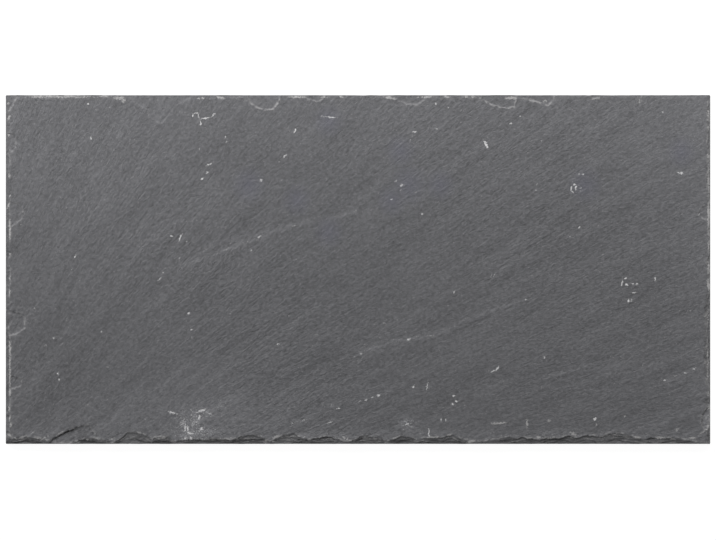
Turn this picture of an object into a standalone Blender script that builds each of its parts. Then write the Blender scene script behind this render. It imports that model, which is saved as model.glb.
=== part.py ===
"""A riven slate slab: one stone, split flat on its cleavage and dressed along its four edges.

The stone starts as a box that is cut into cells. Its upper face gets the low swells of a riven
face, and its walls step in and out from one lamina to the next. Each blow of the dressing hammer
is then one cutter, a shallow dish that takes a flake off an edge, and so is each low terrace
across the face. The underside stays flat.

Frame: metres, +Z up, the origin at the centre of the underside, +X along the long side and -Y
towards the front edge, which is the most heavily dressed.
"""

import math
import random
from collections import namedtuple

import bmesh
import bpy
from mathutils import Matrix, Vector, noise

# Driving dimensions, in metres.
LENGTH = 0.600
WIDTH = 0.297
THICKNESS = 0.010

# The riven face and the broken walls, in metres.
CELL = 0.012  # cell of the upper face, and so a facet's length along a wall
LAMINA_LEVELS = (0.0021, 0.0046, 0.0072)  # heights where one lamina ends and the next begins
LAMINA_WANDER = 0.0006  # how far those heights stray along a wall
WALL_STEP = 0.0013  # most that a lamina stands back from the outline
WALL_BREAK = 0.021  # typical length of one broken facet along a wall
SWELL = 0.0005  # height of the riven face's swells
SWELL_ACROSS = 0.034  # width of a swell
SWELL_ALONG = 0.090  # length of a swell, along the grain
GRAIN_ORIGIN = Vector((-0.57, -0.34, 0.0))  # the slate's grain fans out from here

# Cutters, in metres and degrees.
CUTTER_SIDES = 16
CUTTER_HEIGHT = 0.009
SCARP = 52  # steepness of the scarp round a flake scar
RAGGED = 0.13  # share by which a flake's outline strays from an ellipse

MM = 0.001
SEED = 11

# A flake scar is a ragged half ellipse on an edge. Lengths are in millimetres: at is the place
# along the edge from the slab's middle. The scar's floor lies drop under the upper face at its
# inmost point. It falls outwards by slope and to one side by roll, in degrees.
Flake = namedtuple("Flake", "at wide deep drop slope roll", defaults=(0,))

FRONT = (
    Flake(-283, 36, 5.2, 0.7, 38),
    Flake(-220, 20, 4.0, 0.8, 42),
    Flake(-193, 34, 9.6, 0.7, 22, -4),
    Flake(-188, 26, 5.6, 1.6, 36),
    Flake(-164, 17, 5.0, 0.8, 40),
    Flake(-146, 24, 3.1, 0.7, 48),
    Flake(-121, 32, 4.6, 0.8, 42),
    Flake(-92, 36, 7.6, 0.6, 28, 3),
    Flake(-96, 20, 4.8, 1.9, 40),
    Flake(-56, 32, 9.2, 0.7, 22, -3),
    Flake(-61, 18, 5.6, 1.8, 36),
    Flake(-29, 38, 5.8, 0.8, 34),
    Flake(-22, 24, 3.4, 2.4, 46),
    Flake(-3, 17, 3.2, 0.8, 46),
    Flake(14, 24, 6.0, 0.9, 38, 3),
    Flake(38, 32, 6.4, 0.6, 34, -3),
    Flake(43, 22, 3.8, 2.2, 44),
    Flake(64, 27, 5.0, 1.0, 46),
    Flake(81, 24, 7.6, 0.7, 26, 5),
    Flake(84, 18, 4.6, 2.0, 40),
    Flake(106, 26, 2.6, 0.9, 50),
    Flake(136, 42, 5.6, 1.1, 44),
    Flake(142, 26, 3.6, 2.7, 50),
    Flake(166, 24, 4.4, 0.8, 42),
    Flake(190, 34, 6.0, 0.8, 36),
    Flake(221, 31, 9.0, 0.6, 22, 3),
    Flake(226, 22, 5.0, 1.8, 38),
    Flake(243, 18, 5.0, 0.8, 40),
    Flake(267, 34, 5.4, 0.8, 38),
    Flake(293, 24, 7.6, 0.7, 32, -5),
)

BACK = (
    Flake(-293, 20, 9.5, 0.7, 16, 3),
    Flake(-256, 46, 2.7, 0.6, 50),
    Flake(-222, 40, 2.9, 0.6, 48),
    Flake(-204, 15, 5.6, 0.7, 30),
    Flake(-170, 46, 22.0, 0.45, 1.2),
    Flake(-176, 18, 3.0, 0.9, 44),
    Flake(-137, 22, 4.6, 0.6, 30),
    Flake(-116, 26, 2.6, 0.6, 50),
    Flake(-79.5, 29.5, 13.2, 0.95, 5),
    Flake(-55, 20, 2.4, 0.6, 50),
    Flake(-42, 17, 5.2, 0.6, 24),
    Flake(-18, 40, 2.3, 0.6, 52),
    Flake(18, 34, 2.6, 0.6, 48),
    Flake(41, 24, 7.2, 0.5, 12),
    Flake(70, 42, 2.4, 0.6, 50),
    Flake(117, 33, 12.0, 0.75, 5, 2),
    Flake(139, 18, 3.2, 0.7, 42),
    Flake(152, 26, 9.2, 0.7, 9, 3),
    Flake(178, 30, 2.8, 0.6, 46),
    Flake(202, 18, 4.6, 0.5, 24),
    Flake(226, 34, 2.3, 0.6, 50),
    Flake(240, 8, 6.2, 0.5, 10),
    Flake(262, 40, 2.5, 0.6, 50),
    Flake(291, 22, 3.0, 0.7, 44),
)

LEFT = (
    Flake(139, 22, 6.4, 0.6, 20),
    Flake(112, 30, 6.8, 0.5, 18),
    Flake(86, 30, 3.4, 0.6, 44),
    Flake(64, 24, 4.2, 0.6, 36),
    Flake(48, 24, 11.5, 0.5, 8),
    Flake(22, 34, 3.2, 0.6, 46),
    Flake(-6, 30, 3.6, 0.6, 42),
    Flake(-25, 20, 3.0, 0.7, 46),
    Flake(-46, 21, 14.0, 0.55, 6),
    Flake(-71, 32, 3.4, 0.6, 44),
    Flake(-97, 18, 13.0, 0.5, 6),
    Flake(-116, 26, 3.4, 0.6, 44),
    Flake(-138, 24, 5.2, 0.7, 34),
)

RIGHT = (
    Flake(137, 28, 2.6, 0.7, 48),
    Flake(110, 30, 2.2, 0.6, 52),
    Flake(84, 30, 2.4, 0.6, 50),
    Flake(54, 17, 10.0, 0.5, 9),
    Flake(36, 28, 2.4, 0.6, 50),
    Flake(20, 16, 8.6, 0.5, 10),
    Flake(0, 34, 3.2, 0.6, 46),
    Flake(-28, 34, 3.8, 0.7, 42),
    Flake(-56, 34, 4.4, 0.8, 38),
    Flake(-60, 22, 2.4, 2.4, 50),
    Flake(-85, 32, 4.2, 0.8, 40),
    Flake(-113, 14, 4.6, 1.3, 34),
    Flake(-128, 26, 6.6, 0.6, 16),
    Flake(-140, 26, 5.6, 0.8, 30, 4),
)

# A terrace is a low step across the riven face, where one lamina ends. Its foot lies drop under
# the face and its floor rises away from it, to the back left. Lengths are in millimetres: x and
# y give the step's middle, turn the way it runs, in degrees.
Terrace = namedtuple("Terrace", "x y wide turn drop")
TERRACES = (
    Terrace(-133, 13, 92, 21, 0.42),
    Terrace(-57, 40, 104, 15, 0.45),
    Terrace(-140, 2, 66, 20, 0.32),
    Terrace(41, -59, 62, 17, 0.40),
    Terrace(115, -35, 74, 22, 0.42),
    Terrace(16, -107, 40, 16, 0.36),
    Terrace(179, -88, 52, 18, 0.40),
    Terrace(276, -89, 34, 22, 0.36),
    Terrace(-47, -129, 28, 11, 0.32),
)
TERRACE_DEPTH = 6.5  # how far a terrace's line bows from straight
TERRACE_RISE = 3.2  # degrees by which its floor rises away from the step

# A spall is a flake off the lower arris. Lengths are in millimetres: at is the place along the
# edge from the slab's middle, deep is measured on the underside and high on the wall.
Spall = namedtuple("Spall", "side at wide deep high")
SPALLS = (
    Spall("front", -193, 4.5, 1.1, 9.0),
    Spall("front", -74, 34, 3.4, 2.2),
    Spall("front", 118, 26, 2.6, 1.7),
    Spall("front", 252, 30, 3.0, 2.1),
    Spall("back", -236, 28, 3.2, 2.0),
    Spall("back", 4, 36, 2.8, 1.6),
    Spall("back", 208, 30, 3.6, 2.3),
    Spall("left", 94, 26, 3.0, 1.9),
    Spall("left", -62, 30, 3.4, 2.2),
    Spall("right", 68, 24, 2.8, 1.8),
    Spall("right", -98, 32, 3.2, 2.0),
)

# The ledge by the front left corner, where a lamina has come away from under a step: its plan,
# in millimetres from the slab's middle, starts along the step. The floor is deepest there.
LEDGE_PLAN = (
    (-266, -148),
    (-255, -140.6),
    (-247, -138.6),
    (-240, -136.6),
    (-235, -133.4),
    (-229, -131.2),
    (-219, -136),
    (-214, -152),
    (-270, -152),
)
LEDGE_FOOT = Vector((-248, -138.8, 0)) * MM
LEDGE_DROP = 0.0017
LEDGE_FALL = 2.2  # degrees by which the floor rises away from the step

# Each edge: the middle of its lower arris, its direction and the way into the stone.
Edge = namedtuple("Edge", "middle along inward")
EDGES = {
    "front": Edge(Vector((0, -WIDTH / 2, 0)), Vector((1, 0, 0)), Vector((0, 1, 0))),
    "back": Edge(Vector((0, WIDTH / 2, 0)), Vector((1, 0, 0)), Vector((0, -1, 0))),
    "left": Edge(Vector((-LENGTH / 2, 0, 0)), Vector((0, 1, 0)), Vector((1, 0, 0))),
    "right": Edge(Vector((LENGTH / 2, 0, 0)), Vector((0, 1, 0)), Vector((-1, 0, 0))),
}
FLAKES = {"front": FRONT, "back": BACK, "left": LEFT, "right": RIGHT}


def clear_scene():
    for obj in list(bpy.data.objects):
        bpy.data.objects.remove(obj)


def new_collection(name):
    collection = bpy.data.collections.new(name)
    bpy.context.scene.collection.children.link(collection)
    return collection


def slate():
    """Dark blue-grey stone with a low sheen."""
    material = bpy.data.materials.new("slate")
    material.use_nodes = True
    shader = material.node_tree.nodes["Principled BSDF"]
    shader.inputs["Base Color"].default_value = (0.125, 0.127, 0.133, 1)
    shader.inputs["Roughness"].default_value = 0.62
    shader.inputs["Metallic"].default_value = 0
    return material


def bisect_across(bm, axis, places):
    """Cuts the whole mesh at each of these places along the axis."""
    normal = Vector((axis == "x", axis == "y", axis == "z"))
    for place in places:
        geometry = bm.verts[:] + bm.edges[:] + bm.faces[:]
        bmesh.ops.bisect_plane(bm, geom=geometry, plane_co=normal * place, plane_no=normal)


def evenly(length):
    """Places of the cuts that divide a length, centred on zero, into equal cells."""
    count = round(length / CELL)
    return [length * (i / count - 0.5) for i in range(1, count)]


def swell(point):
    """How far the riven face lies under its highest level, from 0 to SWELL."""
    away = point - GRAIN_ORIGIN
    turn = math.atan2(away.y, away.x) * (LENGTH + WIDTH) / 2
    spot = Vector((away.length / SWELL_ALONG, turn / SWELL_ACROSS, 0))
    return SWELL * (0.5 - 0.5 * max(-1.0, min(1.0, 1.7 * noise.noise(spot))))


def uneven(distance, level, length):
    """A smooth random number from 0 to 1 for a place along a wall."""
    spot = Vector((distance / length, 3.7 * level / LAMINA_LEVELS[0], 0.5))
    return 0.5 + 0.5 * max(-1.0, min(1.0, 1.8 * noise.noise(spot)))


def shape_stone(bm):
    """Moves each vertex of the cut box onto the riven face or the broken walls."""
    half_length, half_width = LENGTH / 2, WIDTH / 2
    for vert in bm.verts:
        start = vert.co.copy()
        if start.z < LAMINA_LEVELS[0] / 2:
            continue
        if abs(abs(start.x) - half_length) < MM / 10:
            step = WALL_STEP * uneven(start.y + start.x, start.z, WALL_BREAK)
            vert.co.x -= math.copysign(step, start.x)
        if abs(abs(start.y) - half_width) < MM / 10:
            step = WALL_STEP * uneven(start.x + 2 * start.y, start.z, WALL_BREAK)
            vert.co.y -= math.copysign(step, start.y)
        if start.z > THICKNESS - MM / 10:
            vert.co.z -= swell(start)
        else:
            wander = 2 * uneven(start.x + start.y, start.z, 3 * WALL_BREAK) - 1
            vert.co.z += LAMINA_WANDER * wander


def stone_block():
    """The stone before its edges are dressed."""
    bm = bmesh.new()
    bmesh.ops.create_cube(bm, size=1)
    bmesh.ops.scale(bm, vec=(LENGTH, WIDTH, THICKNESS), verts=bm.verts)
    bmesh.ops.translate(bm, vec=(0, 0, THICKNESS / 2), verts=bm.verts)
    bisect_across(bm, "x", evenly(LENGTH))
    bisect_across(bm, "y", evenly(WIDTH))
    bisect_across(bm, "z", LAMINA_LEVELS)
    under = [face for face in bm.faces if face.calc_center_median().z < MM / 10]
    bmesh.ops.dissolve_faces(bm, faces=under)
    shape_stone(bm)
    bmesh.ops.triangulate(bm, faces=bm.faces)
    return bm


def new_object(name, bm, collection):
    bm.normal_update()
    bmesh.ops.recalc_face_normals(bm, faces=bm.faces)
    mesh = bpy.data.meshes.new(name)
    bm.to_mesh(mesh)
    bm.free()
    obj = bpy.data.objects.new(name, mesh)
    collection.objects.link(obj)
    return obj


def hide_cutter(obj):
    obj.hide_render = True
    obj.display_type = "WIRE"


def edge_frame(edge, at, height):
    """Matrix with X along the edge, Y into the stone and Z up, at a place on the edge."""
    turn = Matrix.Rotation(math.atan2(-edge.inward.x, edge.inward.y), 4, "Z")
    return Matrix.Translation(edge.middle + edge.along * at + Vector((0, 0, height))) @ turn


def dish(half_wide, deep, height, chance):
    """A ragged elliptical dish, narrower at its floor than at its mouth. Its floor is at z 0."""
    bm = bmesh.new()
    bmesh.ops.create_cone(
        bm, cap_ends=True, segments=CUTTER_SIDES, radius1=1, radius2=1, depth=height
    )
    splay = height / math.tan(math.radians(SCARP))
    stray = [1 + chance.uniform(-RAGGED, RAGGED) for _ in range(CUTTER_SIDES)]
    for vert in bm.verts:
        side = round(math.atan2(vert.co.y, vert.co.x) / math.tau * CUTTER_SIDES) % CUTTER_SIDES
        out = splay if vert.co.z > 0 else 0
        vert.co.x *= half_wide * stray[side] + out
        vert.co.y *= deep * stray[side] + out
        vert.co.z += height / 2
    return bm


def tilted(deep, slope, roll=0):
    """Turns a dish about its inmost point: its floor falls outwards and to one side."""
    pivot = Matrix.Translation((0, deep, 0))
    tilt = Matrix.Rotation(math.radians(slope), 4, "X")
    return pivot @ Matrix.Rotation(math.radians(roll), 4, "Y") @ tilt @ pivot.inverted()


def flake_cutter(name, edge, flake, chance, cutters):
    """The dish that takes one flake off an edge's upper arris."""
    deep = flake.deep * MM
    bm = dish(flake.wide * MM / 2, deep, CUTTER_HEIGHT, chance)
    place = edge_frame(edge, flake.at * MM, THICKNESS - flake.drop * MM)
    bm.transform(place @ tilted(deep, flake.slope, flake.roll))
    hide_cutter(new_object(name, bm, cutters))


def terrace_cutter(name, terrace, chance, cutters):
    """The dish that lowers the riven face along one terrace."""
    deep = TERRACE_DEPTH * MM
    bm = dish(terrace.wide * MM / 2, deep, CUTTER_HEIGHT, chance)
    middle = Vector((terrace.x, terrace.y, 0)) * MM
    middle.z = THICKNESS - swell(middle) - terrace.drop * MM
    turn = Matrix.Rotation(math.radians(terrace.turn + 180), 4, "Z")
    recentre = Matrix.Translation((0, -deep, 0))
    place = Matrix.Translation(middle) @ turn @ recentre
    bm.transform(place @ tilted(deep, -TERRACE_RISE))
    hide_cutter(new_object(name, bm, cutters))


def spall_cutter(name, spall, chance, cutters):
    """The dish that takes one spall off a lower arris: it opens outwards and down."""
    bm = dish(spall.wide * MM / 2, math.hypot(spall.deep, spall.high) * MM, CUTTER_HEIGHT, chance)
    inner = Matrix.Translation((0, spall.deep * MM, 0))
    lean = Matrix.Rotation(math.atan2(spall.high, -spall.deep), 4, "X")
    bm.transform(edge_frame(EDGES[spall.side], spall.at * MM, 0) @ inner @ lean)
    hide_cutter(new_object(name, bm, cutters))


def ledge_cutter(cutters):
    """Takes away the lamina by the front left corner, leaving a step with a rising floor."""
    bm = bmesh.new()
    corners = [bm.verts.new((x * MM, y * MM, THICKNESS - LEDGE_DROP)) for x, y in LEDGE_PLAN]
    floor = bmesh.ops.contextual_create(bm, geom=corners)["faces"]
    raised = bmesh.ops.extrude_face_region(bm, geom=floor)["geom"]
    top = [item for item in raised if isinstance(item, bmesh.types.BMVert)]
    bmesh.ops.translate(bm, vec=(0, 0, CUTTER_HEIGHT), verts=top)
    step = Vector((LEDGE_PLAN[5][0] - LEDGE_PLAN[0][0], LEDGE_PLAN[5][1] - LEDGE_PLAN[0][1], 0))
    pivot = Matrix.Translation(LEDGE_FOOT + Vector((0, 0, THICKNESS - LEDGE_DROP)))
    rise = Matrix.Rotation(-math.radians(LEDGE_FALL), 4, step)
    bm.transform(pivot @ rise @ pivot.inverted())
    hide_cutter(new_object("ledge", bm, cutters))


def dress_edges(cutters):
    """One cutter for each blow of the dressing hammer."""
    chance = random.Random(SEED)
    for side, flakes in FLAKES.items():
        for number, flake in enumerate(flakes, 1):
            flake_cutter(f"{side}_flake_{number:02d}", EDGES[side], flake, chance, cutters)
    for number, terrace in enumerate(TERRACES, 1):
        terrace_cutter(f"terrace_{number:02d}", terrace, chance, cutters)
    for number, spall in enumerate(SPALLS, 1):
        spall_cutter(f"spall_{number:02d}", spall, chance, cutters)
    ledge_cutter(cutters)


def main():
    clear_scene()
    stone = new_collection("slate_slab")
    cutters = new_collection("dressing_cutters")
    slab = new_object("slab", stone_block(), stone)
    slab.data.materials.append(slate())
    dress_edges(cutters)
    dressing = slab.modifiers.new("dressing", "BOOLEAN")
    dressing.operation = "DIFFERENCE"
    dressing.operand_type = "COLLECTION"
    dressing.collection = cutters
    dressing.solver = "EXACT"


main()
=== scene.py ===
"""Dresses a packed slate slab: the riven stone in full detail, a studio and a camera.

The slab lies face up with its long side along X. Its front edge, towards -Y, is the most heavily
dressed. Lengths are in metres, except in the lists of places, which are in millimetres from the
slab's middle.
"""

import math
from collections import namedtuple

import bmesh
import bpy
import numpy as np
from bpy.props import FloatProperty, FloatVectorProperty, IntProperty, PointerProperty
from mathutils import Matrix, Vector, noise


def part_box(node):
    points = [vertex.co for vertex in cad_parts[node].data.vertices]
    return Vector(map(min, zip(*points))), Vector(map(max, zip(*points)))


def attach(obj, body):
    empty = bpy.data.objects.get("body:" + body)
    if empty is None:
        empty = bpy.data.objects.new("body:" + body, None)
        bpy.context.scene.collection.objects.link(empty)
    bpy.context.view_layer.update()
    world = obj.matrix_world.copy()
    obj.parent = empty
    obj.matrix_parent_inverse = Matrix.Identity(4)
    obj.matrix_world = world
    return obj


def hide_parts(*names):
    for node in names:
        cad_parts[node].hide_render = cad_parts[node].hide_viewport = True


bl_info = {
    "name": "Riven slate slab",
    "version": (1, 0, 0),
    "blender": (4, 5, 0),
    "location": "3D View > Sidebar > Slate",
    "description": "Models a riven slate slab with hand-dressed edges, and a studio for it",
    "category": "Add Mesh",
}

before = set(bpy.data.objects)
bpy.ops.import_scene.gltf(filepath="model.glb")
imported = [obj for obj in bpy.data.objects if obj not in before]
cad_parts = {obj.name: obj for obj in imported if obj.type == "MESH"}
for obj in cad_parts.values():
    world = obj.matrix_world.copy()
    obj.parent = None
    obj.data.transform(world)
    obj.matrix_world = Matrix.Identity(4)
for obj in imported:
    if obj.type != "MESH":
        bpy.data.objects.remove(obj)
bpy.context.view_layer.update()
LOW, HIGH = (Vector(corner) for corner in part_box("slab"))
LENGTH, WIDTH, THICKNESS = HIGH - LOW
MM = 0.001

# The slate's grain fans out over the face from this point. Each layer of it has a width across
# the grain and a length along it.
GRAIN_ORIGIN = (-0.47, -0.34)
STREAKS = (0.0019, 0.0048)
BANDS = (0.0042, 0.026)
SWATHES = (0.011, 0.055)

# Heights of the material's own relief.
STREAK_RELIEF = 0.00058
BAND_RELIEF = 0.00046
GRIT_RELIEF = 0.00023
LAYER_RELIEF = 0.0003

# The broken edges. A break narrower than the full one is shallower too.
FULL_BREAK = 0.0043
LEAST_BREAK = 0.0014
RIM_WANDER = 0.00045  # how far a rim strays
RISER = 0.0005  # ground that a lamina's broken end takes up
SHADOW_HALF_WIDTH = 0.0004  # half width of the painted shadow line at a lamina's foot
LAMINA = 0.0013  # thickness of a lamina in the walls

# A mark fades towards its outline, so its spot is larger and stronger than the mark it makes.
SPOT_LENGTH, SPOT_WIDTH, SPOT_STRENGTH = 1.75, 1.95, 1.4
MARK_SHAKE = 0.0028  # how far the marks' outlines are shaken

FLOOR_SIZE = 24
FLOOR_GAP = 0.0002  # between the floor and the underside
SENSOR = 36  # width of the camera's sensor, in millimetres

# Where the upper face ends and the broken edge begins: the place along the edge and the depth
# from the outline, in millimetres.
FRONT_RIM = (
    (-300, 7.2), (-298, 7.2), (-293, 4.2), (-288, 5.9), (-279, 5.1), (-271, 4.4), (-265, 2.5),
    (-259, 1.7), (-250, 1.4), (-243, 2.0), (-238, 3.5), (-234, 4.2), (-228, 5.1), (-223, 3.7),
    (-216, 2.9), (-208, 1.1), (-205, 2.5), (-202, 4.6), (-198, 7.2), (-196, 9.8), (-189, 10.0),
    (-184, 8.1), (-179, 6.2), (-175, 3.8), (-172, 5.2), (-162, 5.9), (-159, 3.8), (-155, 2.1),
    (-150, 2.9), (-142, 3.4), (-133, 3.4), (-127, 4.2), (-120, 4.6), (-112, 3.5), (-107, 2.9),
    (-102, 5.1), (-98, 6.3), (-92, 6.6), (-88, 7.6), (-83, 5.9), (-78, 3.8), (-75, 1.7),
    (-70, 4.6), (-63, 6.8), (-58, 8.2), (-55, 9.3), (-52, 6.8), (-46, 4.2), (-42, 3.5),
    (-32, 5.1), (-24, 5.9), (-17, 3.4), (-11, 1.7), (-5, 2.9), (0, 4.6), (4, 6.6), (11, 5.9),
    (19, 5.1), (23, 2.5), (29, 3.4), (33, 5.1), (37, 6.3), (45, 5.5), (51, 2.9), (54, 4.2),
    (62, 4.7), (74, 5.1), (75, 7.2), (80, 7.3), (86, 5.1), (92, 2.5), (100, 1.8), (109, 2.5),
    (117, 3.4), (122, 4.6), (128, 5.5), (135, 4.7), (140, 5.2), (148, 4.0), (154, 3.0),
    (159, 4.4), (173, 4.7), (178, 6.8), (183, 5.4), (187, 4.7), (194, 6.8), (202, 6.3),
    (207, 5.5), (210, 7.5), (215, 8.6), (221, 9.0), (228, 7.8), (235, 5.9), (239, 4.4),
    (244, 3.2), (249, 5.1), (260, 4.7), (271, 5.4), (280, 2.6), (285, 2.0), (288, 1.2),
    (293, 0.8), (300, 0.8),
)
BACK_RIM = (
    (-300, 1.6), (-288, 2.1), (-262, 2.3), (-240, 2.6), (-226, 2.4), (-218, 1.3), (-210, 2.4),
    (-203, 3.6), (-198, 3.8), (-195, 1.4), (-170, 1.0), (-150, 1.4), (-138, 2.6), (-122, 2.4),
    (-106, 2.7), (-96, 1.8), (-80, 0.9), (-64, 1.6), (-52, 2.2), (-30, 1.6), (-10, 1.8),
    (8, 1.4), (24, 2.4), (36, 1.4), (52, 2.2), (78, 1.7), (100, 2.2), (118, 1.2), (136, 2.6),
    (146, 1.4), (170, 1.6), (200, 1.8), (226, 1.3), (262, 1.5), (300, 1.7),
)
LEFT_RIM = (
    (-148, 4.6), (-143, 5.8), (-138, 3.4), (-127, 3.2), (-112, 3.8), (-100, 2.6), (-90, 3.5),
    (-74, 3.6), (-66, 4.2), (-52, 2.4), (-40, 2.8), (-20, 3.4), (-4, 3.6), (12, 3.0),
    (32, 3.8), (42, 3.0), (56, 2.6), (67, 4.8), (80, 3.4), (96, 3.1), (108, 2.6), (120, 3.4),
    (131, 2.8), (142, 2.4), (148, 1.8),
)
RIGHT_RIM = (
    (-148, 3.0), (-144, 3.4), (-138, 3.2), (-134, 3.0), (-126, 2.2), (-118, 2.0), (-114, 4.4),
    (-111, 5.0), (-108, 2.8), (-101, 2.6), (-96, 3.8), (-84, 5.0), (-66, 4.9), (-50, 5.1),
    (-36, 4.7), (-26, 4.0), (-18, 2.4), (-13, 3.4), (-8, 2.0), (-5, 3.0), (0, 2.0), (4, 3.2),
    (12, 2.0), (28, 1.5), (34, 2.9), (52, 2.4), (74, 3.0), (92, 2.8), (110, 2.6), (128, 3.0),
    (148, 2.6),
)

# How each edge is broken. drop is how far the face falls on its way to the outline, and vary
# how far that strays, in millimetres. steps is the number of laminae that end in steps, slope
# the share of the drop that lies between the steps, and arris how far the outline is rounded
# off, in millimetres. tone is how much the edge shows broken stone. bruise is how pale the
# bruised line along the rim is, pale how far in from the rim it runs and spread half its width,
# both in millimetres. crevice is how dark the shadow painted at the feet of the steps is, and
# worn how much paler than the rest the face is along the edge.
Side = namedtuple(
    "Side", "name rim drop vary steps slope arris tone bruise pale spread crevice worn seed"
)
SIDES = (
    Side("front", FRONT_RIM, 1.5, 0.5, 4, 0.30, 0.1, 1.0, 0.9, 0.75, 0.60, 0.93, 0.08, 3.1),
    Side("back", BACK_RIM, 0.45, 0.15, 1, 0.75, 0.0, 0.0, 0.1, 0.6, 0.8, 0.0, 0.07, 7.7),
    Side("left", LEFT_RIM, 1.0, 0.35, 1, 0.50, 0.2, 0.1, 0.42, 0.2, 0.9, 0.30, 0.10, 12.4),
    Side("right", RIGHT_RIM, 1.2, 0.35, 2, 0.45, 0.4, 1.0, 0.85, -1.0, 1.2, 0.45, 0.20, 17.9),
)

# A scar is a place where a flake of the top lamina has come off. drop is its depth at its
# first point, in millimetres, and fall how that depth grows along X, in millimetres per
# millimetre. bruise is how pale its rim is, shade how much paler its floor is, and crevice how
# dark the shadow painted on its floor under the rim is.
Scar = namedtuple("Scar", "points drop fall bruise shade crevice")
SCARS = (
    Scar(((-264, -152), (-262.5, -146), (-257, -142.3), (-252.5, -139.9), (-247.5, -137.5),
          (-244, -136.6), (-240, -134.4), (-236.5, -133.2), (-230.5, -131.6), (-228, -134),
          (-224, -139), (-221, -145), (-220, -152)), 1.2, -0.028, 0.35, -0.05, 1.0),
    Scar(((-197, 152), (-196, 147), (-191, 143), (-186, 139), (-179, 135.5), (-174, 128),
          (-168, 123), (-163, 128), (-160, 133), (-153, 140), (-148, 143), (-143, 146),
          (-142, 152)), 0.30, -0.001, 0.04, 0.08, 0.0),
    Scar(((-95, 150.9), (-93.7, 145.8), (-91.6, 141.8), (-87.3, 138.5), (-83.1, 136.4),
          (-78, 135.6), (-72.4, 136.4), (-69.4, 139.8), (-66.5, 144.1),
          (-65.2, 150.9)), 0.70, 0.0, 0.60, 0.07, 0.0),
    Scar(((-49, 152), (-47, 146.5), (-42, 144.8), (-34.5, 142.4), (-29.5, 145.4),
          (-27, 152)), 0.45, 0.0, 0.35, 0.0, 0.0),
    Scar(((27, 152), (30, 145), (36, 143.3), (42, 140.3), (51, 140), (57, 145),
          (58, 152)), 0.35, 0.0, 0.30, 0.0, 0.0),
    Scar(((99, 152), (103.5, 146), (109.5, 142.4), (114, 140), (121.5, 137.7), (128, 137),
          (133, 138.5), (135, 146), (136, 152)), 0.60, 0.0, 0.50, 0.01, 0.0),
    Scar(((137, 152), (140, 146), (147, 143.6), (155, 141.5), (162, 139), (165.5, 143),
          (169, 152)), 0.60, 0.0, 0.60, 0.01, 0.0),
    Scar(((195, 152), (199, 145.4), (205, 145.4), (208, 152)), 0.45, 0.0, 0.45, 0.0, 0.0),
    Scar(((237.5, 152), (238, 140.7), (241, 140.7), (241.5, 152)), 0.25, 0.0, 0.4, 0.0, 0.0),
    Scar(((-304, 133.4), (-297, 134.3), (-294.5, 138), (-292, 142.4), (-290.5, 146.7),
          (-290, 152), (-304, 152)), 0.55, 0.0, 0.30, 0.03, 0.0),
    Scar(((-304, 118.5), (-295, 116), (-291, 111.7), (-291.3, 103), (-296, 99),
          (-304, 97)), 0.50, 0.0, 0.30, 0.02, 0.0),
    Scar(((-304, 60), (-295, 58), (-288, 55.5), (-284.3, 50.3), (-286, 42.7), (-294.5, 36.7),
          (-304, 35)), 0.40, 0.0, 0.20, 0.0, 0.0),
    Scar(((-304, -33), (-294.5, -35), (-287.5, -37.4), (-283.3, -41.7), (-283.3, -50.2),
          (-289, -54.5), (-298, -57), (-304, -58)), 0.50, 0.0, 0.30, 0.0, 0.0),
    Scar(((-304, -89.5), (-293.5, -91), (-286, -92.8), (-286, -98.8), (-292.7, -101.4),
          (-304, -103)), 0.45, 0.0, 0.25, 0.0, 0.0),
    Scar(((304, 56), (295, 54.6), (290, 51.2), (289.2, 46), (295, 42.7), (304, 41)),
         0.40, 0.0, 0.30, 0.0, 0.0),
    Scar(((304, -114.8), (299, -115.8), (295.3, -119.2), (292.3, -123.5), (292, -132),
          (294.5, -136.3), (299.6, -137.2), (304, -137.2)), 0.70, 0.0, 0.55, 0.10, 0.0),
)

# A ridge is where a lamina of the face ends in a low step that faces the back left. height is
# in millimetres.
Ridge = namedtuple("Ridge", "points height")
RIDGES = (
    Ridge(((-168, -5), (-118, 14), (-68, 34), (-30, 43), (6, 51)), 0.34),
    Ridge(((-200, -9), (-134, 18), (-92, 30)), 0.20),
    Ridge(((-9, -75), (30, -61), (65, -56), (88, -44), (118, -33), (143, -25)), 0.34),
    Ridge(((-1, -112), (17, -107), (34, -102)), 0.26),
    Ridge(((155, -95), (178, -86), (202, -79)), 0.32),
    Ridge(((260, -95), (276, -88), (291, -83)), 0.30),
    Ridge(((-57, -130), (-47, -129), (-36, -126)), 0.26),
)

# A spall is a flake off the lower arris: its side, and at, wide, deep and high in millimetres.
Spall = namedtuple("Spall", "side at wide deep high")
SPALLS = (
    Spall("front", -193, 5.5, 1.3, 9.0),
    Spall("front", -74, 34, 3.0, 2.2),
    Spall("front", 118, 26, 2.4, 1.7),
    Spall("front", 252, 30, 2.6, 2.1),
    Spall("back", -236, 28, 2.8, 2.0),
    Spall("back", 4, 36, 2.5, 1.6),
    Spall("back", 208, 30, 3.1, 2.3),
    Spall("left", 94, 26, 2.6, 1.9),
    Spall("left", -62, 30, 3.0, 2.2),
    Spall("right", 68, 24, 2.5, 1.8),
    Spall("right", -98, 32, 2.8, 2.0),
)

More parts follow.
